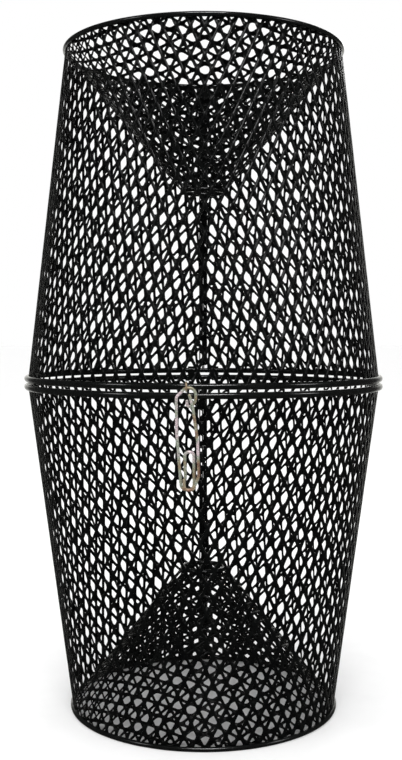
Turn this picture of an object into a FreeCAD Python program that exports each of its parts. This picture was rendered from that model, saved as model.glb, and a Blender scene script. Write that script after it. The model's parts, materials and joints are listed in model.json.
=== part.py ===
import FreeCAD, Part
import math
import os
from FreeCAD import Vector

# Two-piece cylindrical crab and crayfish trap of coated expanded metal.
# Millimetres. +Z is up, -Y is the front, where the snap clip hangs, and the origin is the
# centre of the lower end rim's underside. Both halves are tapered shells whose wide mouths
# meet at mid height. Each narrow end is closed by a funnel that points into the trap.

# Whole object
OVERALL_HEIGHT = 419.0
MID_Z = OVERALL_HEIGHT / 2
SHEET = 1.0                 # thickness that the expanded sheet takes up, front to back
FIT_GAP = 0.05              # air between pieces of one half that are rolled together

# Mouth rims: a hoop wire with the sheet's margin rolled round it
MOUTH_HOOP_R = 112.6        # to the middle of the hoop wire
MOUTH_HEM_TUBE_R = 1.7
MOUTH_WIRE_R = 1.15
MOUTH_SPACING = 5.1         # between the middles of the two hoop wires
MOUTH_WALL_INSET = 1.45     # the wall meets the rolled hem on its inner side
MOUTH_WALL_GAP = 1.25
ROLL_FACETS = 24            # the rolled sheet's round section is drawn with this many sides

# End rims, the same construction in a thinner wire
UPPER_END_RIM_R = 89.0      # outside of the rolled hem
LOWER_END_RIM_R = 86.4
END_HEM_TUBE_R = 1.45
END_WIRE_R = 0.95
REST_FLAT_DEPTH = 0.1       # the hems are pressed this much flat where the trap stands on them
END_WALL_INSET = 0.5
END_WALL_GAP = 1.05
END_FUNNEL_INSET = 1.4
END_FUNNEL_GAP = 0.5

# Funnels
THROAT_RING_R = 13.6
THROAT_TUBE_R = 1.4
THROAT_DEPTH = 88.0         # of the throat ring's middle, from the end of the half

# Lap seams at the back, with their staples
SEAM_WIDTH = 6.0
SEAM_SHEET = 0.8
SEAM_MARGIN = 2.6           # from the seam strip's ends to the ends of the mesh
STAPLE_WIRE_R = 0.5
STAPLE_LENGTH = 3.6
STAPLE_BEND_R = 0.7
STAPLE_POINT = 0.5          # how far the points come out on the other side
WALL_STAPLES = 6
FUNNEL_STAPLES = 4

# Hinge straps round both mouth rims at the back
STRAP_OFFSET_X = 9.0
STRAP_WIDTH = 5.0
STRAP_SHEET = 0.7
STRAP_LOOSE_GAP = 0.7       # round the upper hem, which turns in the straps
STRAP_NOTCH_SIDE = 1.0
UPPER_NOTCH_HEIGHT = 6.0    # above the middle of the upper hoop
LOWER_NOTCH_DEPTH = 4.2

# Wire eye on the upper hoop, and the snap clip that hangs from it
CLIP_WIRE_R = 0.8
CLIP_X = -8.3               # the top of the clip's hook
CLIP_Y = -116.0             # plane of the clip's frame
ARM_FRONT_GAP = 0.3         # between the frame and the spring arm, which crosses in front
EYE_WIRE_R = 0.5
EYE_INNER_R = 1.85
EYE_OFFSET_X = -1.2         # from the top of the hook
EYE_DROP = 0.45             # the hook hangs this much below the eye's middle
EYE_NOTCH_WIDTH = 2.0
EYE_NOTCH_HEIGHT = 3.0

UPPER_HOOP_Z = MID_Z + MOUTH_SPACING / 2
LOWER_HOOP_Z = MID_Z - MOUTH_SPACING / 2
Z_AXIS = Vector(0, 0, 1)
X_AXIS = Vector(1, 0, 0)
ORIGIN = Vector(0, 0, 0)


def flat_face(points):
    """A face in the XZ plane with these (radius, height) corners."""
    corners = [Vector(r, 0, z) for r, z in points]
    return Part.Face(Part.makePolygon(corners + corners[:1]))


def revolved(points):
    """A ring whose section has these (radius, height) corners."""
    return flat_face(points).revolve(ORIGIN, Z_AXIS, 360)


def torus(ring_r, tube_r, z):
    return Part.makeTorus(ring_r, tube_r, Vector(0, 0, z), Z_AXIS)


def band(start, end, thickness, offset=0.0, lengthen=0.0):
    """A sloping wall's section, from start to end, moved sideways by offset and longer at both ends."""
    dr = end[0] - start[0]
    dz = end[1] - start[1]
    length = math.hypot(dr, dz)
    along = (dr / length, dz / length)
    out = (along[1], -along[0])
    near = offset - thickness / 2
    far = offset + thickness / 2
    first = (start[0] - along[0] * lengthen, start[1] - along[1] * lengthen)
    last = (end[0] + along[0] * lengthen, end[1] + along[1] * lengthen)
    corners = []
    for point, side in ((first, near), (last, near), (last, far), (first, far)):
        corners.append((point[0] + out[0] * side, point[1] + out[1] * side))
    return corners


def disc(ring_r, radius, z):
    """A disc in the XZ plane, drawn as a many-sided polygon with its corners on the circle."""
    points = []
    for i in range(ROLL_FACETS):
        turn = 2 * math.pi * (i + 0.5) / ROLL_FACETS
        points.append((ring_r + radius * math.cos(turn), z + radius * math.sin(turn)))
    return flat_face(points)


def rolled_hem(ring_r, tube_r, wire_r, z, bands):
    """A tube of rolled sheet round a hoop wire, open where the sheets of mesh run into it."""
    section = disc(ring_r, tube_r, z).cut(disc(ring_r, wire_r + FIT_GAP, z))
    section = section.cut([flat_face(corners) for corners in bands])
    rolled = max(section.Faces, key=lambda face: face.Area)
    return rolled.revolve(ORIGIN, Z_AXIS, 360)


def back_strip(section):
    """A flat strip as wide as the lap seam, whose side view at the back is this section."""
    corners = [Vector(-SEAM_WIDTH / 2, r, z) for r, z in section]
    outline = Part.makePolygon(corners + corners[:1])
    return Part.Face(outline).extrude(X_AXIS * SEAM_WIDTH)


def seam_feet(start, end, count):
    """Evenly spaced points up the middle of a back seam's mesh, and the seam's outward direction."""
    foot = Vector(0, start[0], start[1])
    head = Vector(0, end[0], end[1])
    along = (head - foot).normalize()
    step = (head - foot).Length / count
    out = Vector(0, along.z, -along.y)
    return [foot + along * (step * (i + 0.5)) for i in range(count)], out


def staples(feet, out):
    """Wire staples across the back seam: a crown outside the strip and two points through the mesh."""
    crown = out * (SHEET / 2 + SEAM_SHEET + STAPLE_WIRE_R + 2 * FIT_GAP)
    point = out * -(SHEET / 2 + STAPLE_POINT)
    side = X_AXIS * (STAPLE_LENGTH / 2)
    bends = [STAPLE_BEND_R, STAPLE_BEND_R]
    wires = []
    for foot in feet:
        points = [foot + point - side, foot + crown - side, foot + crown + side, foot + point + side]
        wires.append(round_wire(points, bends, STAPLE_WIRE_R))
    return Part.makeCompound(wires)


def staple_holes(feet, out):
    """The holes that the staples' legs make in the strip and the mesh."""
    depth = 4 * SHEET
    holes = []
    for foot in feet:
        for side in (-1, 1):
            start = foot - out * (depth / 2) + X_AXIS * (side * STAPLE_LENGTH / 2)
            holes.append(Part.makeCylinder(STAPLE_WIRE_R + FIT_GAP, depth, start, out))
    return holes


def strap_angle():
    """How far round the hoop each hinge strap stands from the back, in degrees."""
    return math.degrees(math.asin(STRAP_OFFSET_X / MOUTH_HOOP_R))


def notch(angle, width, low_z, high_z):
    """A block that opens a mouth's wall, at an angle from the back, round Z."""
    depth = 4 * MOUTH_HEM_TUBE_R
    corner = Vector(-width / 2, MOUTH_HOOP_R - depth, low_z)
    block = Part.makeBox(width, 2 * depth, high_z - low_z, corner)
    block.rotate(ORIGIN, Z_AXIS, angle)
    return block


def half(end_rim_r, notches):
    """All pieces of one half, standing on its end rim with its mouth up."""
    hoop_z = LOWER_HOOP_Z
    end_r = end_rim_r - END_HEM_TUBE_R
    end_z = END_HEM_TUBE_R - REST_FLAT_DEPTH
    wall_low = (end_r - END_WALL_INSET, end_z + END_WALL_GAP)
    wall_high = (MOUTH_HOOP_R - MOUTH_WALL_INSET, hoop_z - MOUTH_WALL_GAP)
    funnel_low = (end_r - END_FUNNEL_INSET, end_z + END_FUNNEL_GAP)
    slope = math.atan2(funnel_low[0] - THROAT_RING_R, THROAT_DEPTH - funnel_low[1])
    throat_gap = THROAT_TUBE_R + FIT_GAP
    funnel_high = (
        THROAT_RING_R + throat_gap * math.sin(slope),
        THROAT_DEPTH - throat_gap * math.cos(slope),
    )
    slot = SHEET + 2 * FIT_GAP
    wall_slot = band(wall_low, wall_high, slot, lengthen=0.5)
    funnel_slot = band(funnel_low, funnel_high, slot, lengthen=FIT_GAP)
    seam_offset = SHEET / 2 + FIT_GAP + SEAM_SHEET / 2

    pieces = {}
    for name, low, high, count, openings in (
        ("wall", wall_low, wall_high, WALL_STAPLES, notches),
        ("funnel", funnel_low, funnel_high, FUNNEL_STAPLES, []),
    ):
        feet, out = seam_feet(low, high, count)
        holes = staple_holes(feet, out)
        mesh = revolved(band(low, high, SHEET))
        strip = back_strip(band(low, high, SEAM_SHEET, seam_offset, -SEAM_MARGIN))
        pieces[name + "_mesh"] = mesh.cut(openings + holes)
        pieces[name + "_seam"] = strip.cut(holes)
        pieces[name + "_staples"] = staples(feet, out)
    pieces["throat_ring"] = torus(THROAT_RING_R, THROAT_TUBE_R, THROAT_DEPTH)
    pieces["mouth_hoop"] = torus(MOUTH_HOOP_R, MOUTH_WIRE_R, hoop_z)
    pieces["mouth_hem"] = rolled_hem(MOUTH_HOOP_R, MOUTH_HEM_TUBE_R, MOUTH_WIRE_R, hoop_z, [wall_slot])
    pieces["end_hoop"] = torus(end_r, END_WIRE_R, end_z)
    ground = [(0, -END_HEM_TUBE_R), (2 * end_r, -END_HEM_TUBE_R), (2 * end_r, 0), (0, 0)]
    pieces["end_hem"] = rolled_hem(
        end_r, END_HEM_TUBE_R, END_WIRE_R, end_z, [wall_slot, funnel_slot, ground]
    )
    return pieces


def obround(first, second, first_r, second_r, x, width):
    """A block along X whose section in the YZ plane is the hull of two circles, (y, z) each."""
    dy = second[0] - first[0]
    dz = second[1] - first[1]
    gap = math.hypot(dy, dz)
    line = math.atan2(dz, dy)
    lean = math.acos((first_r - second_r) / gap)
    corners = []
    for centre, radius in ((first, first_r), (second, second_r)):
        for side in (lean, -lean):
            turn = line + side
            corners.append(Vector(x, centre[0] + radius * math.cos(turn), centre[1] + radius * math.sin(turn)))
    back = Vector(x, first[0] - first_r * math.cos(line), first[1] - first_r * math.sin(line))
    front = Vector(x, second[0] + second_r * math.cos(line), second[1] + second_r * math.sin(line))
    edges = [
        Part.Arc(corners[1], back, corners[0]).toShape(),
        Part.LineSegment(corners[0], corners[2]).toShape(),
        Part.Arc(corners[2], front, corners[3]).toShape(),
        Part.LineSegment(corners[3], corners[1]).toShape(),
    ]
    return Part.Face(Part.Wire(edges)).extrude(Vector(width, 0, 0))


def hinge_strap(side, lower_hem):
    """A sheet strap crimped on the lower hem and bent loosely round the upper one."""
    upper = (MOUTH_HOOP_R, UPPER_HOOP_Z)
    lower = (MOUTH_HOOP_R, LOWER_HOOP_Z)
    loose_r = MOUTH_HEM_TUBE_R + STRAP_LOOSE_GAP
    x = -STRAP_WIDTH / 2
    outside = obround(upper, lower, loose_r + STRAP_SHEET, MOUTH_HEM_TUBE_R + STRAP_SHEET, x, STRAP_WIDTH)
    inside = obround(upper, lower, loose_r, MOUTH_HEM_TUBE_R - FIT_GAP, x, STRAP_WIDTH)
    strap = outside.cut(inside)
    strap.rotate(ORIGIN, Z_AXIS, side * strap_angle())
    return strap.cut(lower_hem)


def rounded_path(points, radii):
    """A wire of straight runs through the points, with an arc of the given radius at each inner point."""
    edges = []
    last = points[0]
    for i in range(1, len(points) - 1):
        corner = points[i]
        back = (points[i - 1] - corner).normalize()
        ahead = (points[i + 1] - corner).normalize()
        half_angle = back.getAngle(ahead) / 2
        reach = radii[i - 1] / math.tan(half_angle)
        start = corner + back * reach
        end = corner + ahead * reach
        bisector = (back + ahead).normalize()
        centre = corner + bisector * (radii[i - 1] / math.sin(half_angle))
        middle = centre - bisector * radii[i - 1]
        edges.append(Part.LineSegment(last, start).toShape())
        edges.append(Part.Arc(start, middle, end).toShape())
        last = end
    edges.append(Part.LineSegment(last, points[-1]).toShape())
    return Part.Wire(edges)


def round_wire(points, radii, wire_r):
    """A round wire bent along rounded_path, with rounded ends."""
    path = rounded_path(points, radii)
    direction = (points[1] - points[0]).normalize()
    section = Part.Wire([Part.makeCircle(wire_r, points[0], direction)])
    body = path.makePipeShell([section], True, True)
    for tip in (points[0], points[-1]):
        body = body.fuse(Part.makeSphere(wire_r, tip))
    return body


def clip_points(outline, y):
    """Points given across and up from the top of the clip's hook, in the plane at y."""
    return [Vector(CLIP_X + across, y, clip_top_z() + up) for across, up in outline]


def clip_top_z():
    return UPPER_HOOP_Z - EYE_DROP


def clip_frame():
    """The clip's fixed wire: hook tip, hook, back leg, bottom bend and the long spring loop."""
    hook_r = 3.8
    lean = math.radians(45)
    hook_corner = (hook_r, hook_r * (1 / math.tan(lean / 2) - 1))
    elbow = (-6.6, hook_corner[1] - (hook_corner[0] + 6.6) / math.tan(lean))
    outline = [
        (-0.8, -7.2),
        (-0.9, -13.2),
        (3.8, -7.0),
        hook_corner,
        elbow,
        (-6.4, -24.0),
        (-3.9, -55.0),
        (3.0, -55.0),
        (2.8, -34.6),
        (-2.1, -34.6),
        (-1.7, -49.0),
    ]
    radii = [1.5, 3.0, hook_r, 2.4, 40.0, 3.0, 2.9, 2.2, 2.2]
    return round_wire(clip_points(outline, CLIP_Y), radii, CLIP_WIRE_R)


def clip_arm():
    """The clip's spring arm, which closes the hook from the front."""
    outline = [
        (-2.4, -49.5),
        (-2.2, -55.0),
        (2.4, -55.0),
        (5.5, -47.5),
        (4.9, -29.0),
        (2.3, -10.5),
        (0.5, -4.0),
    ]
    radii = [2.1, 2.6, 6.0, 40.0, 20.0]
    y = CLIP_Y - 2 * CLIP_WIRE_R - ARM_FRONT_GAP
    return round_wire(clip_points(outline, y), radii, CLIP_WIRE_R)


def clip_eye():
    """A wire link round the upper hem, long enough to hold the clip's hook in front of it."""
    x = CLIP_X + EYE_OFFSET_X
    hoop_y = -math.sqrt(MOUTH_HOOP_R ** 2 - x ** 2)
    z = UPPER_HOOP_Z
    r = EYE_INNER_R + EYE_WIRE_R
    top_back = Vector(x, hoop_y, z + r)
    top_front = Vector(x, CLIP_Y, z + r)
    low_back = Vector(x, hoop_y, z - r)
    low_front = Vector(x, CLIP_Y, z - r)
    path = Part.Wire([
        Part.LineSegment(top_back, top_front).toShape(),
        Part.Arc(top_front, Vector(x, CLIP_Y - r, z), low_front).toShape(),
        Part.LineSegment(low_front, low_back).toShape(),
        Part.Arc(low_back, Vector(x, hoop_y + r, z), top_back).toShape(),
    ])
    section = Part.Wire([Part.makeCircle(EYE_WIRE_R, top_back, Vector(0, 1, 0))])
    return path.makePipeShell([section], True, True)


def strap_notches(low_z, high_z):
    width = STRAP_WIDTH + 2 * STRAP_NOTCH_SIDE
    return [notch(side * strap_angle(), width, low_z, high_z) for side in (-1, 1)]


def turned_over(shape):
    """The same shape standing on its head: half a turn about the Y direction at mid height."""
    copy = shape.copy()
    copy.rotate(Vector(0, 0, MID_Z), Vector(0, 1, 0), 180)
    return copy


def all_parts():
    top_z = LOWER_HOOP_Z + MOUTH_HEM_TUBE_R
    lower = half(LOWER_END_RIM_R, strap_notches(LOWER_HOOP_Z - LOWER_NOTCH_DEPTH, top_z))
    # The upper half is made mouth up and then turned over, so its eye notch is made on the other side
    eye_angle = 180 - math.degrees(math.asin((CLIP_X + EYE_OFFSET_X) / MOUTH_HOOP_R))
    upper_notches = strap_notches(LOWER_HOOP_Z - UPPER_NOTCH_HEIGHT, top_z)
    upper_notches.append(notch(eye_angle, EYE_NOTCH_WIDTH, LOWER_HOOP_Z - EYE_NOTCH_HEIGHT, top_z))
    upper = half(UPPER_END_RIM_R, upper_notches)

    parts = {}
    for name, shape in lower.items():
        parts["lower_" + name] = shape
    for name, shape in upper.items():
        parts["upper_" + name] = turned_over(shape)
    parts["hinge_strap_left"] = hinge_strap(1, parts["lower_mouth_hem"])
    parts["hinge_strap_right"] = hinge_strap(-1, parts["lower_mouth_hem"])
    parts["clip_eye"] = clip_eye()
    parts["clip_frame"] = clip_frame()
    parts["clip_arm"] = clip_arm()
    return parts


os.makedirs("parts", exist_ok=True)
for node, shape in all_parts().items():
    shape.exportStep("parts/" + node + ".step")
    box = shape.BoundBox
    print(node, shape.isValid(), len(shape.Solids), round(shape.Volume, 1),
          [round(v, 2) for v in (box.XMin, box.YMin, box.ZMin, box.XMax, box.YMax, box.ZMax)])
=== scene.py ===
import json
import math

import bmesh
import bpy
import numpy as np
from mathutils import Matrix, Vector


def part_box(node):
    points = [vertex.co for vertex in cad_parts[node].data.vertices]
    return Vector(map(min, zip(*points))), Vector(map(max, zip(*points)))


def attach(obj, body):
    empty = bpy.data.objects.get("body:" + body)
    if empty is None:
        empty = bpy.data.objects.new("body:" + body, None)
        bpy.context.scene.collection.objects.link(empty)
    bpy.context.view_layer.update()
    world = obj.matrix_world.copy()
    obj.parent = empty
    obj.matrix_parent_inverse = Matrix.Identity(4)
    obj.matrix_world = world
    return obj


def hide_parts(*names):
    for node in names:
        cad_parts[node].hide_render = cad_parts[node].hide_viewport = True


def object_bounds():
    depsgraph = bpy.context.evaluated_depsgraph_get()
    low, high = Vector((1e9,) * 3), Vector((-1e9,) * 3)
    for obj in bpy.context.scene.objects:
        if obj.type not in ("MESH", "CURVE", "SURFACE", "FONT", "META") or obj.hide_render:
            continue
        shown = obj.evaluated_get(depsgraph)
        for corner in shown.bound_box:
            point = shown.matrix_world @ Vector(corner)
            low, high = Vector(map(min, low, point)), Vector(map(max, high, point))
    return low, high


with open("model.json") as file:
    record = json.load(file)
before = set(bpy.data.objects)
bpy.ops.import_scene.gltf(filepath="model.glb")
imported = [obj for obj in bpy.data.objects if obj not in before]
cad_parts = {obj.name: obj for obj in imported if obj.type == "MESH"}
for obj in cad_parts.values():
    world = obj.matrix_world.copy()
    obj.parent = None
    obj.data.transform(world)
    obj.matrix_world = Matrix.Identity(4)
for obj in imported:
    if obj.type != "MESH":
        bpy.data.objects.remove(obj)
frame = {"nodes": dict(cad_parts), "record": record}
cad_box = [list(corner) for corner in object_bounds()]

MM = 0.001

# Height of the trap's middle, between the two mouth rims
MID_Z = cad_box[1][2] / 2

# The expanded mesh of each cone, in the flat sheet: pitch across and pitch along the generator
# at the front, turn of the lattice in degrees, and one opening's middle, across from the front
# generator and down the slant from the wide rim. The wall's openings are long up the trap,
# the funnel's are long round it.
LATTICES = {
    "lower_wall": (8.03 * MM, 16.55 * MM, -0.62, -1.30 * MM, 8.04 * MM),
    "upper_wall": (7.81 * MM, 16.72 * MM, 0.0, 0.39 * MM, 6.97 * MM),
    "lower_funnel": (13.33 * MM, 7.60 * MM, -6.2, 1.07 * MM, 4.02 * MM),
    "upper_funnel": (13.39 * MM, 7.91 * MM, 0.8, 0.38 * MM, 0.96 * MM),
}
CELL_CORNERS = 12              # points round a cell of the lattice, shared with its neighbours
OPENING_POINTS = 16            # points round the opening in it
STRAND_WIDTH = 1.72 * MM
LAP_STRAND = 3.4 * MM           # strands of the seam's lap, which the coating has filled out
STRAND_HALF_THICKNESS = 0.46 * MM
STRAND_EDGE = 0.5              # the strand's edge is this share as thick as its middle
STRAND_TILT = 0.28             # how far each strand leans out of the sheet, as a slope
TIP_RADIUS = 0.85 * MM         # of an opening's two sharp corners
SIDE_RADIUS = 2.4 * MM         # of its two blunt corners
CORNER_SHARE = 0.17            # where the corner's curve ends along the lattice line
SHARP_STEPS = (-1.0, -0.5, 0.0, 0.5, 1.0)
BLUNT_STEPS = (-1.0, 0.0, 1.0)
COVER = 0.75                   # how far past the sheet's edges cells are laid, in longest pitches
WELD = 0.01 * MM
WELD_SHIFT = 0.25              # keeps the lattice's own points off the edges of the rounding

# Sheet, seams and staples, as in the CAD model
SHEET = 1.0 * MM
SEAM_WIDTH = 6.0 * MM
SEAM_GAP = 0.05 * MM
SEAM_OFFSET = 0.95 * MM        # from the middle of the sheet to the middle of the lap on it
SELVAGE_R = 0.48 * MM          # of the coated cut edges of the mesh along the seam
EDGE_STEPS = 16
STAPLE_WIRE_R = 0.5 * MM
STAPLE_LENGTH = 3.6 * MM
STAPLE_BEND_R = 0.7 * MM
STAPLE_SEAT = 0.9 * MM         # from the sheet's outside to the crown's inside
STAPLE_END = 0.5 * MM          # how far the legs come out inside the sheet
STAPLES = {"wall": 6, "funnel": 4}

# Hoops, rims and where the sheets run into them
MOUTH_WIRE_R = 1.15 * MM
MOUTH_TUBE_R = 1.7 * MM
MOUTH_WALL_INSET = 1.45 * MM
MOUTH_WALL_GAP = 1.25 * MM
END_WIRE_R = 0.95 * MM
END_TUBE_R = 1.45 * MM
END_WALL_INSET = 0.5 * MM
END_WALL_GAP = 1.05 * MM
END_FUNNEL_INSET = 1.4 * MM
END_FUNNEL_GAP = 0.5 * MM
THROAT_TUBE_R = 1.4 * MM
THROAT_GAP = 1.45 * MM
RIM_TURNS = 420
RIM_SIDES = 18
RIM_UNEVEN = 0.03 * MM
RIM_WAVES = ((0.5, 7, 1), (0.3, 23, 2), (0.2, 61, 0))   # share of it, waves round the rim, start
RIM_FILLET = 0.15 * MM
RIM_TALL = 0.25 * MM           # how much higher than round the mouth rims are at the sides
RIM_TALL_FADE = 0.2            # sine of the turn from front or back where that height is full
MOUTH_ENTRY = 40               # degrees from straight in to where the strands run into a rim
END_ENTRY = 60

# Room cut in the mesh for the hinge straps and for the clip's eye
STRAP_WIDTH = 5.0 * MM
NOTCH_SIDE = 1.0 * MM
STRAP_NOTCH = {"lower": 4.2 * MM, "upper": 6.0 * MM}
EYE_NOTCH = 3.0 * MM
EYE_NOTCH_WIDTH = 2.0 * MM
NOTCH_REACH = 8.0 * MM         # faces this near a notch are cut along its sides

# Coating, zinc, wire and floor: noise scales per metre, colours, gloss and bump
COAT_COLOUR_SCALE = 55.0
COAT_GLOSS_SCALE = 240.0
COAT_BUMP = 0.25
COAT_SKIN = 0.0002
ZINC_METALLIC = 0.6
ZINC_COLOUR_SCALE = 75.0
ZINC_GRAIN_SCALE = 1500.0
ZINC_COLOURS = (
    (0.36, (0.25, 0.10, 0.08)),
    (0.44, (0.46, 0.37, 0.24)),
    (0.52, (0.46, 0.52, 0.42)),
    (0.61, (0.90, 0.74, 0.78)),
)
ZINC_ROUGHNESS = (0.20, 0.38)
ZINC_BUMP = 0.15
ZINC_GRAIN = 0.0001
DRAWN_SCALE = 400.0
DRAWN_COLOURS = ((0.35, (0.30, 0.30, 0.31)), (0.65, (0.45, 0.45, 0.46)))
DRAWN_ROUGHNESS = (0.35, 0.5)
FLOOR_SCALE = 30.0
FLOOR_COLOURS = ((0.35, (0.85, 0.85, 0.85)), (0.65, (0.87, 0.87, 0.87)))
FLOOR_ROUGHNESS = 0.9
FLOOR_SPECULAR = 0.1

# Studio, in metres and watts. The room reflects dimly but for the backdrop behind the trap.
FLOOR_SIZE = 30
SUN_PLACE = (-0.5, -0.7, 2.2)
SUN_ENERGY = 0.65
SUN_ANGLE = 50
LIGHTS = (
    ("key_light", (0.05, -1.25, 1.5), 0.9, 0.25, 12.0),
    ("left_light", (-1.2, -0.8, 0.9), 0.35, 0.35, 1.6),
    ("right_light", (1.3, -0.6, 0.7), 0.35, 0.35, 1.6),
    ("back_light", (0.5, 1.4, 1.0), 0.5, 0.5, 2.2),
)
ROOM_REFLECTED = 0.05
BACKDROP_REFLECTED = 1.2
BACKDROP_EDGE = 0.8            # how far a reflection turns to +Y before the backdrop shows in it
BACKDROP_FULL = 0.99
BACKDROP_TINT = (1, 1, 0.95, 1)

# Camera: place from the trap's middle, tip in degrees and lens on a 36 mm frame
CAMERA_PLACE = (-1.6 * MM, -679 * MM, 33.4 * MM)
CAMERA_TIP = 2.76
CAMERA_LENS = 49.8


# ---------------------------------------------------------------- materials


def new_material(name):
    material = bpy.data.materials.new(name)
    material.use_nodes = True
    tree = material.node_tree
    shader = tree.nodes["Principled BSDF"]
    return material, tree, shader


def noise(tree, scale, detail=4.0, roughness=0.55):
    coords = tree.nodes.new("ShaderNodeTexCoord")
    node = tree.nodes.new("ShaderNodeTexNoise")
    node.inputs["Scale"].default_value = scale
    node.inputs["Detail"].default_value = detail
    node.inputs["Roughness"].default_value = roughness
    tree.links.new(coords.outputs["Object"], node.inputs["Vector"])
    return node


def ramp(tree, source, stops):
    """A colour ramp with these (position, colour) stops."""
    node = tree.nodes.new("ShaderNodeValToRGB")
    elements = node.color_ramp.elements
    while len(elements) < len(stops):
        elements.new(0.5)
    for element, (position, colour) in zip(elements, stops):
        element.position = position
        element.color = (*colour, 1)
    tree.links.new(source, node.inputs["Fac"])
    return node


def spread(tree, source, low, high, start=0.3, end=0.7):
    """A value that goes from low to high while the source goes from start to end."""
    node = tree.nodes.new("ShaderNodeMapRange")
    node.inputs["From Min"].default_value = start
    node.inputs["From Max"].default_value = end
    node.inputs["To Min"].default_value = low
    node.inputs["To Max"].default_value = high
    tree.links.new(source, node.inputs["Value"])
    return node


def bump(tree, shader, source, strength, distance):
    node = tree.nodes.new("ShaderNodeBump")
    node.inputs["Strength"].default_value = strength
    node.inputs["Distance"].default_value = distance
    tree.links.new(source, node.inputs["Height"])
    tree.links.new(node.outputs["Normal"], shader.inputs["Normal"])


def dip_coat(name, dark, light, specular, rough_low, rough_high, grain):
    """Black vinyl dip coating: near black, patchy gloss and a fine orange-peel skin."""
    material, tree, shader = new_material(name)
    shader.inputs["Specular IOR Level"].default_value = specular
    slow = noise(tree, COAT_COLOUR_SCALE)
    colour = ramp(tree, slow.outputs["Fac"], ((0.35, dark), (0.65, light)))
    tree.links.new(colour.outputs["Color"], shader.inputs["Base Color"])
    patches = noise(tree, COAT_GLOSS_SCALE)
    gloss = spread(tree, patches.outputs["Fac"], rough_low, rough_high)
    tree.links.new(gloss.outputs["Result"], shader.inputs["Roughness"])
    skin = noise(tree, grain, 3.0)
    bump(tree, shader, skin.outputs["Fac"], COAT_BUMP, COAT_SKIN)
    return material


def zinc_wire():
    """Dull passivated zinc on spring wire: grey-green, with pink, olive and rust-brown patches."""
    material, tree, shader = new_material("zinc_wire")
    shader.inputs["Metallic"].default_value = ZINC_METALLIC
    patches = noise(tree, ZINC_COLOUR_SCALE, 3.0)
    colour = ramp(tree, patches.outputs["Fac"], ZINC_COLOURS)
    tree.links.new(colour.outputs["Color"], shader.inputs["Base Color"])
    fine = noise(tree, ZINC_GRAIN_SCALE, 3.0)
    gloss = spread(tree, fine.outputs["Fac"], *ZINC_ROUGHNESS)
    tree.links.new(gloss.outputs["Result"], shader.inputs["Roughness"])
    bump(tree, shader, fine.outputs["Fac"], ZINC_BUMP, ZINC_GRAIN)
    return material


def drawn_wire():
    """Drawn steel of the hoops inside the rims."""
    material, tree, shader = new_material("drawn_wire")
    shader.inputs["Metallic"].default_value = 1.0
    streaks = noise(tree, DRAWN_SCALE)
    colour = ramp(tree, streaks.outputs["Fac"], DRAWN_COLOURS)
    tree.links.new(colour.outputs["Color"], shader.inputs["Base Color"])
    gloss = spread(tree, streaks.outputs["Fac"], *DRAWN_ROUGHNESS)
    tree.links.new(gloss.outputs["Result"], shader.inputs["Roughness"])
    return material


def floor_paper():
    """Matt white backdrop paper, very slightly cloudy."""
    material, tree, shader = new_material("floor_paper")
    fibres = noise(tree, FLOOR_SCALE)
    colour = ramp(tree, fibres.outputs["Fac"], FLOOR_COLOURS)
    tree.links.new(colour.outputs["Color"], shader.inputs["Base Color"])
    shader.inputs["Roughness"].default_value = FLOOR_ROUGHNESS
    shader.inputs["Specular IOR Level"].default_value = FLOOR_SPECULAR
    return material


MESH_COAT = dip_coat(
    "mesh_coat",
    dark=(0.0008, 0.0009, 0.0010),
    light=(0.0024, 0.0027, 0.0026),
    specular=0.25,
    rough_low=0.14,
    rough_high=0.30,
    grain=900.0,
)
RIM_COAT = dip_coat(
    "rim_coat",
    dark=(0.0008, 0.0011, 0.0011),
    light=(0.0024, 0.0029, 0.0028),
    specular=0.8,
    rough_low=0.12,
    rough_high=0.22,
    grain=600.0,
)
ZINC = zinc_wire()
DRAWN = drawn_wire()


# ---------------------------------------------------------------- expanded mesh


def add_piece(name, mesh, body, material, nodes):
    piece = bpy.data.objects.new(name, mesh)
    bpy.context.scene.collection.objects.link(piece)
    mesh.materials.append(material)
    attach(piece, body)
    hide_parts(*nodes)


class Cone:
    """A tapered sheet between two (radius, height) ends, unrolled flat with its tip at the origin."""

    def __init__(self, narrow, wide):
        self.narrow = narrow
        self.wide = wide
        dr = wide[0] - narrow[0]
        dz = wide[1] - narrow[1]
        self.length = math.hypot(dr, dz)
        self.sine = dr / self.length
        self.upward = math.copysign(1.0, dz)
        self.out = (abs(dz) / self.length, -self.sine * self.upward)
        self.narrow_slant = narrow[0] / self.sine
        self.wide_slant = wide[0] / self.sine

    def place(self, u, v, w):
        """Puts sheet points in space: u across, v from the tip, w over the sheet.

        Returns the places and their turns from the front.
        """
        slant = np.hypot(u, v)
        turn = np.arctan2(u, v) / self.sine
        share = (slant - self.narrow_slant) / self.length
        z = self.narrow[1] + (self.wide[1] - self.narrow[1]) * share
        r = slant * self.sine + self.out[0] * w
        places = np.stack([r * np.sin(turn), -r * np.cos(turn), z + self.out[1] * w], axis=-1)
        return places, turn


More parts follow.
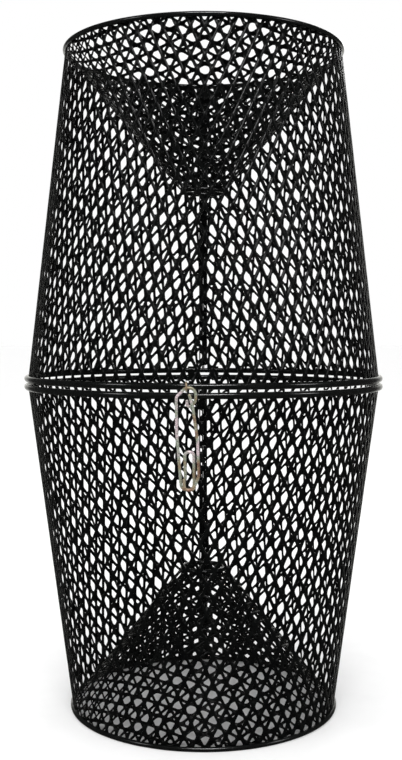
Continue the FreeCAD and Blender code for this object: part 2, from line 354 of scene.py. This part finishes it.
def opening(pitch, strand):
    """A cell's rhombus and the rounded opening inside it, as points in counter-clockwise order."""
    half_u = pitch[0] / 2
    half_v = pitch[1] / 2
    side = math.hypot(half_u, half_v)
    corners = [(half_u, 0.0), (0.0, half_v), (-half_u, 0.0), (0.0, -half_v)]
    outer, inner = [], []
    for quarter in range(4):
        here = corners[quarter]
        ahead = corners[(quarter + 1) % 4]
        reach = max(abs(here[0]), abs(here[1]))
        across = max(abs(ahead[0]), abs(ahead[1]))
        outer.append(here)
        for share in (CORNER_SHARE, 1 - CORNER_SHARE):
            u = here[0] + (ahead[0] - here[0]) * share
            v = here[1] + (ahead[1] - here[1]) * share
            outer.append((u, v))
        sharp = reach > across
        radius = TIP_RADIUS if sharp else SIDE_RADIUS
        middle = 1 - (strand / 2 + radius) * side / across / reach
        facing = math.atan2(here[1], here[0])
        swing = math.atan2(reach, across)
        for step in SHARP_STEPS if sharp else BLUNT_STEPS:
            angle = facing + step * swing
            u = here[0] * middle + radius * math.cos(angle)
            v = here[1] * middle + radius * math.sin(angle)
            inner.append((u, v))
    return np.array(outer), np.array(inner)


def cell_faces(pitch):
    """Faces of one cell, by its points' numbers: its top, its underside and the opening's edge."""
    sharp_first = pitch[0] > pitch[1]
    faces = []
    start = CELL_CORNERS
    for quarter in range(4):
        sharp = sharp_first == (quarter % 2 == 0)
        last = start + len(SHARP_STEPS if sharp else BLUNT_STEPS) - 1
        corner = 3 * quarter
        faces.append(((corner - 1) % CELL_CORNERS, corner, start + 1, start))
        for point in range(start + 1, last - 1):
            faces.append((corner, point + 1, point))
        faces.append((corner, corner + 1, last, last - 1))
        faces.append((corner + 1, corner + 2, CELL_CORNERS if quarter == 3 else last + 1, last))
        start = last + 1

    under = CELL_CORNERS + OPENING_POINTS
    base = under + OPENING_POINTS
    below = []
    for face in faces:
        lowered = [i + base if i < CELL_CORNERS else i + OPENING_POINTS for i in face]
        below.append(tuple(reversed(lowered)))
    edge = []
    for i in range(OPENING_POINTS):
        onward = (i + 1) % OPENING_POINTS
        edge.append((CELL_CORNERS + i, CELL_CORNERS + onward, under + onward, under + i))
    return faces + below + edge


def cell_points(pitch, strand):
    """A cell's points: its rhombus above, its opening above and below, and its rhombus below."""
    outer, inner = opening(pitch, strand)
    short = 0 if pitch[0] < pitch[1] else 1
    h = STRAND_HALF_THICKNESS
    lean = -STRAND_TILT * STRAND_WIDTH / 2 * np.clip(inner[:, short] / TIP_RADIUS, -1, 1)
    rings = [
        np.column_stack([outer, np.full(len(outer), h)]),
        np.column_stack([inner, lean + STRAND_EDGE * h]),
        np.column_stack([inner, lean - STRAND_EDGE * h]),
        np.column_stack([outer, np.full(len(outer), -h)]),
    ]
    return np.concatenate(rings)


def cell_centres(cone, lattice, low_turn, high_turn):
    """The openings' middles in the flat sheet, over the whole cone between two turns from the front."""
    pitch = lattice[:2]
    angle = math.radians(lattice[2])
    first = np.array([lattice[3], cone.wide_slant - lattice[4]])
    across = np.array([math.cos(angle), math.sin(angle)]) * pitch[0]
    along = np.array([-math.sin(angle), math.cos(angle)]) * pitch[1]
    reach = int(2 * cone.wide_slant / min(pitch)) + 2
    steps = np.arange(-reach, reach + 1)
    i, j = np.meshgrid(steps, steps)
    whole = np.column_stack([i.ravel(), j.ravel()])
    steps = np.concatenate([whole, whole + 0.5])
    centres = first + steps[:, :1] * across + steps[:, 1:] * along
    slant = np.hypot(centres[:, 0], centres[:, 1])
    turn = np.arctan2(centres[:, 0], centres[:, 1]) / cone.sine
    margin = max(pitch) * COVER
    spare = margin / np.maximum(slant * cone.sine, margin)
    inside = (slant > cone.narrow_slant - margin) & (slant < cone.wide_slant + margin)
    inside &= (turn > low_turn - spare) & (turn < high_turn + spare)
    return centres[inside], np.array([across / pitch[0], along / pitch[1]])


def sheet_mesh(name, cone, lattice, low_turn, high_turn, strand=STRAND_WIDTH, lift=0.0):
    """Expanded metal rolled on a cone: one rounded opening per cell, welded into one sheet."""
    pitch = lattice[:2]
    cell = cell_points(pitch, strand)
    centres, axes = cell_centres(cone, lattice, low_turn, high_turn)
    points = np.zeros((len(centres), len(cell), 3))
    points[:, :, :2] = centres[:, None, :] + (cell[:, :2] @ axes)[None]
    points[:, :, 2] = cell[None, :, 2] + lift
    flat = points.reshape(-1, 3)
    keys = np.round(flat / WELD + WELD_SHIFT).astype(np.int64)
    _, first, index = np.unique(keys, axis=0, return_index=True, return_inverse=True)
    placed, turn = cone.place(*flat[first].T)
    index = index.reshape(len(centres), len(cell))
    faces = []
    for face in cell_faces(pitch):
        faces.extend(index[:, face].tolist())
    mesh = bpy.data.meshes.new(name)
    mesh.from_pydata(placed.tolist(), [], faces)
    return mesh, turn


def close_loops(work, edges):
    """Puts triangles over each closed loop of these open edges, facing the way its neighbours do."""
    ahead = {}
    for edge in edges:
        if edge.is_boundary:
            corner = edge.link_loops[0]
            ahead.setdefault(corner.link_loop_next.vert, []).append(corner.vert)
    made = []
    while ahead:
        here = next(iter(ahead))
        loop = []
        while here in ahead:
            loop.append(here)
            onward = ahead[here].pop()
            if not ahead[here]:
                del ahead[here]
            here = onward
        if here is loop[0] and len(loop) > 2:
            made.append(work.faces.new(loop))
    for face in made:
        face.normal_update()
    bmesh.ops.triangulate(work, faces=made)


def cut(work, verts, point, normal):
    """Cuts the given corners' strands by a plane, takes away what is in front of it and closes them."""
    chosen = dict.fromkeys(verts)
    edges = [e for e in work.edges if e.verts[0] in chosen and e.verts[1] in chosen]
    faces = [f for f in work.faces if all(v in chosen for v in f.verts)]
    found = bmesh.ops.bisect_plane(
        work, geom=list(chosen) + edges + faces, plane_co=point, plane_no=normal, clear_outer=True
    )
    close_loops(work, [e for e in found["geom_cut"] if isinstance(e, bmesh.types.BMEdge)])


def cut_notch(work, notch):
    """Takes away the mesh inside a box, given by turn about Z, half width, lowest and highest height.

    The turn is from +Y for sign 1 and from -Y for sign -1.
    """
    angle, half_width, low_z, high_z, sign = notch
    turned = Matrix.Rotation(angle, 4, "Z")
    aside = turned @ Vector((1, 0, 0))
    ahead = turned @ Vector((0, sign, 0))

    def near(point, slack):
        return (
            abs(point.dot(aside)) < half_width + slack
            and point.dot(ahead) > 0
            and low_z - slack < point.z < high_z + slack
        )

    planes = (
        (aside * half_width, aside),
        (aside * -half_width, -aside),
        (Vector((0, 0, low_z)), Vector((0, 0, -1))),
        (Vector((0, 0, high_z)), Vector((0, 0, 1))),
    )
    for point, normal in planes:
        faces = [f for f in work.faces if near(f.calc_center_median(), NOTCH_REACH)]
        parts = dict.fromkeys(faces)
        for face in faces:
            parts.update(dict.fromkeys(face.edges))
            parts.update(dict.fromkeys(face.verts))
        bmesh.ops.bisect_plane(work, geom=list(parts), plane_co=point, plane_no=normal)
    inside = [f for f in work.faces if near(f.calc_center_median(), 0.0)]
    bmesh.ops.delete(work, geom=inside, context="FACES")


def close(work, mesh):
    """Closes the cut strands and gives the sheet smooth, outward faces."""
    close_loops(work, work.edges)
    bmesh.ops.recalc_face_normals(work, faces=list(work.faces))
    work.to_mesh(mesh)
    work.free()
    mesh.polygons.foreach_set("use_smooth", [True] * len(mesh.polygons))


def add_edges(work, cone, places, lift, low_z, high_z):
    """Rounded cut edges of coated mesh down the back seam, at these places across it."""
    runs = []
    for x in places:
        run = []
        for step in range(EDGE_STEPS + 1):
            z = low_z + SELVAGE_R + (high_z - low_z - 2 * SELVAGE_R) * step / EDGE_STEPS
            share = (z - cone.narrow[1]) / (cone.wide[1] - cone.narrow[1])
            r = cone.narrow[0] + (cone.wide[0] - cone.narrow[0]) * share + lift / cone.out[0]
            run.append(Vector((x, math.sqrt(r * r - x * x), z)))
        runs.append(run)
    rods = tube_mesh("seam_edges", runs, SELVAGE_R)
    work.from_mesh(rods)
    bpy.data.meshes.remove(rods)


def wrapped_sheet(name, cone, lattice, body, node, notches):
    """A half's whole wall or funnel, open along the back seam."""
    mesh, turn = sheet_mesh(name, cone, lattice, -math.pi, math.pi)
    work = bmesh.new()
    work.from_mesh(mesh)
    left = [v for v in work.verts if turn[v.index] < -math.pi / 2]
    right = [v for v in work.verts if turn[v.index] > math.pi / 2]
    cut(work, left, (-SEAM_GAP, 0, 0), (1, 0, 0))
    cut(work, right, (SEAM_GAP, 0, 0), (-1, 0, 0))
    for height, direction in zip(sorted((cone.narrow[1], cone.wide[1])), (-1, 1)):
        cut(work, list(work.verts), (0, 0, height), (0, 0, direction))
    for notch in notches:
        cut_notch(work, notch)
    edge = SEAM_GAP + SELVAGE_R
    add_edges(work, cone, (-edge, edge), 0.0, *sorted((cone.narrow[1], cone.wide[1])))
    close(work, mesh)
    add_piece(name, mesh, body, MESH_COAT, [node])


def seam_lap(name, cone, lattice, body, node):
    """The strip of mesh that laps over the back seam, half a pitch out of step with the sheet."""
    low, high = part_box(node)
    spare = (SEAM_WIDTH + max(lattice[:2])) / (cone.narrow_slant * cone.sine)
    shifted = (*lattice[:3], lattice[3] + lattice[0] / 2, lattice[4])
    low_turn = math.pi - spare
    high_turn = math.pi + spare
    mesh, _ = sheet_mesh(name, cone, shifted, low_turn, high_turn, LAP_STRAND, SEAM_OFFSET)
    work = bmesh.new()
    work.from_mesh(mesh)
    for height, direction in ((low.z, -1), (high.z, 1)):
        cut(work, list(work.verts), (0, 0, height), (0, 0, direction))
    for side in (-1, 1):
        cut(work, list(work.verts), (side * SEAM_WIDTH / 2, 0, 0), (side, 0, 0))
    front = [v for v in work.verts if v.co.y < 0]
    bmesh.ops.delete(work, geom=front, context="VERTS")
    edge = SEAM_WIDTH / 2 - SELVAGE_R
    add_edges(work, cone, (-edge, edge), SEAM_OFFSET, low.z, high.z)
    close(work, mesh)
    add_piece(name, mesh, body, MESH_COAT, [node])


# ---------------------------------------------------------------- wires and rims


def tube_mesh(name, runs, radius, sides=10):
    """Round wires along the given lines of points, closed at both ends."""
    verts, faces = [], []
    for points in runs:
        start = len(verts)
        count = len(points)
        normal = Vector((0, 0, 1))
        for k in range(count):
            here = points[k]
            tangent = (points[min(k + 1, count - 1)] - points[max(k - 1, 0)]).normalized()
            normal = (normal - tangent * normal.dot(tangent)).normalized()
            other = tangent.cross(normal)
            for i in range(sides):
                angle = 2 * math.pi * i / sides
                verts.append(here + (normal * math.cos(angle) + other * math.sin(angle)) * radius)
        for k in range(count - 1):
            for i in range(sides):
                a = start + k * sides + i
                b = start + k * sides + (i + 1) % sides
                faces.append((a, b, b + sides, a + sides))
        faces.append(tuple(range(start + sides - 1, start - 1, -1)))
        faces.append(tuple(range(start + (count - 1) * sides, start + count * sides)))
    mesh = bpy.data.meshes.new(name)
    mesh.from_pydata([tuple(v) for v in verts], [], faces)
    mesh.polygons.foreach_set("use_smooth", [True] * len(mesh.polygons))
    return mesh


def staples(name, cone, count, body, node):
    """Wire staples across the back seam: each a crown outside the lap and two legs through the mesh."""
    start, end = (cone.narrow, cone.wide) if "wall" in node else (cone.wide, cone.narrow)
    out = Vector((0, cone.out[0], cone.out[1]))
    aside = Vector((STAPLE_LENGTH / 2, 0, 0))
    crown = SHEET / 2 + STAPLE_SEAT + STAPLE_WIRE_R
    inner = -SHEET / 2 - STAPLE_END
    runs = []
    for i in range(count):
        share = (i + 0.5) / count
        r = start[0] + (end[0] - start[0]) * share
        z = start[1] + (end[1] - start[1]) * share
        foot = Vector((0, r, z))
        run = [foot - aside + out * inner, foot - aside + out * (crown - STAPLE_BEND_R)]
        for side in (-1, 1):
            middle = foot + aside * side * (1 - STAPLE_BEND_R / aside.x) + out * (crown - STAPLE_BEND_R)
            for step in (1, 2, 3) if side < 0 else (3, 2, 1):
                angle = math.pi / 2 * step / 4
                sideways = Vector((side * STAPLE_BEND_R * math.cos(angle), 0, 0))
                run.append(middle + sideways + out * (STAPLE_BEND_R * math.sin(angle)))
        run.append(foot + aside + out * (crown - STAPLE_BEND_R))
        run.append(foot + aside + out * inner)
        runs.append(run)
    mesh = tube_mesh(name, runs, STAPLE_WIRE_R)
    add_piece(name, mesh, body, RIM_COAT, [node])


def rolled_rim(name, ring_r, tube_r, z, tall, entry, cells, floor_z, body, node):
    """A rim of rolled sheet under its coating: a slightly uneven tube, fuller where strands run in."""
    verts = []
    for k in range(RIM_TURNS):
        t = 2 * math.pi * k / RIM_TURNS
        uneven = sum(share * math.sin(waves * t + start) for share, waves, start in RIM_WAVES)
        strand = 0.5 + 0.5 * math.cos(cells * t)
        stretch = 1 + tall / tube_r * min(1.0, abs(math.sin(t)) / RIM_TALL_FADE)
        for i in range(RIM_SIDES):
            angle = 2 * math.pi * i / RIM_SIDES
            toward = max(0.0, math.cos(angle - entry)) ** 2
            radius = tube_r - RIM_UNEVEN * (1 - uneven) + RIM_FILLET * toward * strand
            r = ring_r + radius * math.cos(angle)
            height = z + radius * stretch * math.sin(angle)
            if floor_z is not None:
                height = max(height, floor_z) if floor_z < z else min(height, floor_z)
            verts.append((r * math.sin(t), -r * math.cos(t), height))
    faces = []
    for k in range(RIM_TURNS):
        here = k * RIM_SIDES
        there = (k + 1) % RIM_TURNS * RIM_SIDES
        for i in range(RIM_SIDES):
            onward = (i + 1) % RIM_SIDES
            faces.append((here + i, there + i, there + onward, here + onward))
    mesh = bpy.data.meshes.new(name)
    mesh.from_pydata(verts, [], faces)
    mesh.polygons.foreach_set("use_smooth", [True] * len(mesh.polygons))
    add_piece(name, mesh, body, RIM_COAT, [node])


# ---------------------------------------------------------------- the two halves


def ring_of(node, wire_r):
    """A hoop's middle radius and height."""
    low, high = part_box(node)
    return high.x - wire_r, (low.z + high.z) / 2


def half_pieces(half):
    """The visible mesh, seams, staples and rims of one half, from its CAD nodes' places."""
    up = 1 if half == "lower" else -1
    body = half + "_half"
    end_r, end_z = ring_of(half + "_end_hoop", END_WIRE_R)
    mouth_r, mouth_z = ring_of(half + "_mouth_hoop", MOUTH_WIRE_R)
    throat_r, throat_z = ring_of(half + "_throat_ring", THROAT_TUBE_R)
    wall = Cone(
        (end_r - END_WALL_INSET, end_z + up * END_WALL_GAP),
        (mouth_r - MOUTH_WALL_INSET, mouth_z - up * MOUTH_WALL_GAP),
    )
    rim = (end_r - END_FUNNEL_INSET, end_z + up * END_FUNNEL_GAP)
    slope = math.atan2(rim[0] - throat_r, abs(throat_z - rim[1]))
    throat = (throat_r + THROAT_GAP * math.sin(slope), throat_z - up * THROAT_GAP * math.cos(slope))
    funnel = Cone(throat, rim)

    notches = []
    for strap in ("hinge_strap_left", "hinge_strap_right"):
        low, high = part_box(strap)
        turn = math.atan2(-(low.x + high.x) / 2, (low.y + high.y) / 2)
        width = STRAP_WIDTH / 2 + NOTCH_SIDE
        edges = sorted((mouth_z - up * STRAP_NOTCH[half], mouth_z + up * MOUTH_TUBE_R))
        notches.append((turn, width, *edges, 1))
    if half == "upper":
        low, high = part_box("clip_eye")
        turn = math.atan2((low.x + high.x) / 2, -(low.y + high.y) / 2)
        notches.append((turn, EYE_NOTCH_WIDTH / 2, mouth_z - MOUTH_TUBE_R, mouth_z + EYE_NOTCH, -1))

    for part, cone, cuts in (("wall", wall, notches), ("funnel", funnel, [])):
        lattice = LATTICES[half + "_" + part]
        name = half + "_" + part
        wrapped_sheet(name + "_expanded_mesh", cone, lattice, body, name + "_mesh", cuts)
        seam_lap(name + "_seam_lap", cone, lattice, body, name + "_seam")
        staples(name + "_seam_staples", cone, STAPLES[part], body, name + "_staples")

    pitch = LATTICES[half + "_wall"][0]
    rolled_rim(
        half + "_mouth_rolled_rim",
        ring_r=mouth_r,
        tube_r=MOUTH_TUBE_R,
        z=mouth_z,
        tall=RIM_TALL,
        entry=math.radians(180 + MOUTH_ENTRY * up),
        cells=round(2 * math.pi * mouth_r / pitch),
        floor_z=None,
        body=body,
        node=half + "_mouth_hem",
    )
    rolled_rim(
        half + "_end_rolled_rim",
        ring_r=end_r,
        tube_r=END_TUBE_R,
        z=end_z,
        tall=0.0,
        entry=math.radians(180 - END_ENTRY * up),
        cells=round(2 * math.pi * end_r / pitch),
        floor_z=0.0 if half == "lower" else cad_box[1][2],
        body=body,
        node=half + "_end_hem",
    )


def paint_cad_nodes():
    """CAD pieces whose shape is right keep it and take the real finish."""
    finishes = {
        "coated_mesh": MESH_COAT,
        "coated_rim": RIM_COAT,
        "coated_wire": RIM_COAT,
        "hoop_wire": DRAWN,
        "zinc_wire": ZINC,
    }
    slots = {s["node"]: s["material_slot"] for s in frame["record"]["subparts"]}
    for node, piece in frame["nodes"].items():
        piece.data.materials.clear()
        piece.data.materials.append(finishes[slots[node]])


# ---------------------------------------------------------------- studio


def studio_air():
    """White all round, but dim in reflections, as the room in front of a white backdrop is."""
    world = bpy.data.worlds.new("studio_air")
    world.use_nodes = True
    tree = world.node_tree
    white = tree.nodes["Background"]
    white.inputs["Color"].default_value = (1, 1, 1, 1)
    white.inputs["Strength"].default_value = 1.0
    direction = tree.nodes.new("ShaderNodeTexCoord")
    split = tree.nodes.new("ShaderNodeSeparateXYZ")
    tree.links.new(direction.outputs["Generated"], split.inputs["Vector"])
    backdrop = spread(
        tree,
        split.outputs["Y"],
        low=ROOM_REFLECTED,
        high=BACKDROP_REFLECTED,
        start=BACKDROP_EDGE,
        end=BACKDROP_FULL,
    )
    dim = tree.nodes.new("ShaderNodeBackground")
    dim.inputs["Color"].default_value = BACKDROP_TINT
    tree.links.new(backdrop.outputs["Result"], dim.inputs["Strength"])
    path = tree.nodes.new("ShaderNodeLightPath")
    mix = tree.nodes.new("ShaderNodeMixShader")
    tree.links.new(path.outputs["Is Glossy Ray"], mix.inputs["Fac"])
    tree.links.new(white.outputs["Background"], mix.inputs[1])
    tree.links.new(dim.outputs["Background"], mix.inputs[2])
    tree.links.new(mix.outputs["Shader"], tree.nodes["World Output"].inputs["Surface"])
    bpy.context.scene.world = world


def aim(lamp, place):
    """Puts a light in the scene, turned to the trap's middle."""
    lamp.location = place
    lamp.rotation_euler = (Vector((0, 0, MID_Z)) - Vector(place)).to_track_quat("-Z", "Y").to_euler()
    bpy.context.scene.collection.objects.link(lamp)


def studio():
    """The floor, which no reflection shows, and soft light from above, both sides and behind."""
    bpy.ops.mesh.primitive_plane_add(size=FLOOR_SIZE, location=(0, 0, 0))
    floor = bpy.context.object
    floor.name = "floor"
    floor.data.materials.append(floor_paper())
    floor.visible_glossy = False
    studio_air()
    sun = bpy.data.lights.new("ceiling_light", "SUN")
    sun.energy = SUN_ENERGY
    sun.angle = math.radians(SUN_ANGLE)
    ceiling = bpy.data.objects.new("ceiling_light", sun)
    ceiling.visible_glossy = False
    aim(ceiling, SUN_PLACE)
    for name, place, width, height, power in LIGHTS:
        light = bpy.data.lights.new(name, "AREA")
        light.shape = "ELLIPSE"
        light.size = width
        light.size_y = height
        light.energy = power
        aim(bpy.data.objects.new(name, light), place)
    bpy.context.scene.view_settings.view_transform = "Standard"


def camera():
    """A close camera, a little above the trap's middle and tipped slightly down."""
    data = bpy.data.cameras.new("camera")
    data.lens = CAMERA_LENS
    data.sensor_width = 36.0
    data.clip_start = 0.01
    view = bpy.data.objects.new("camera", data)
    view.location = (CAMERA_PLACE[0], CAMERA_PLACE[1], MID_Z + CAMERA_PLACE[2])
    view.rotation_euler = (math.radians(90 - CAMERA_TIP), 0, 0)
    bpy.context.scene.collection.objects.link(view)
    bpy.context.scene.camera = view


paint_cad_nodes()
for half in ("lower", "upper"):
    half_pieces(half)
studio()
camera()
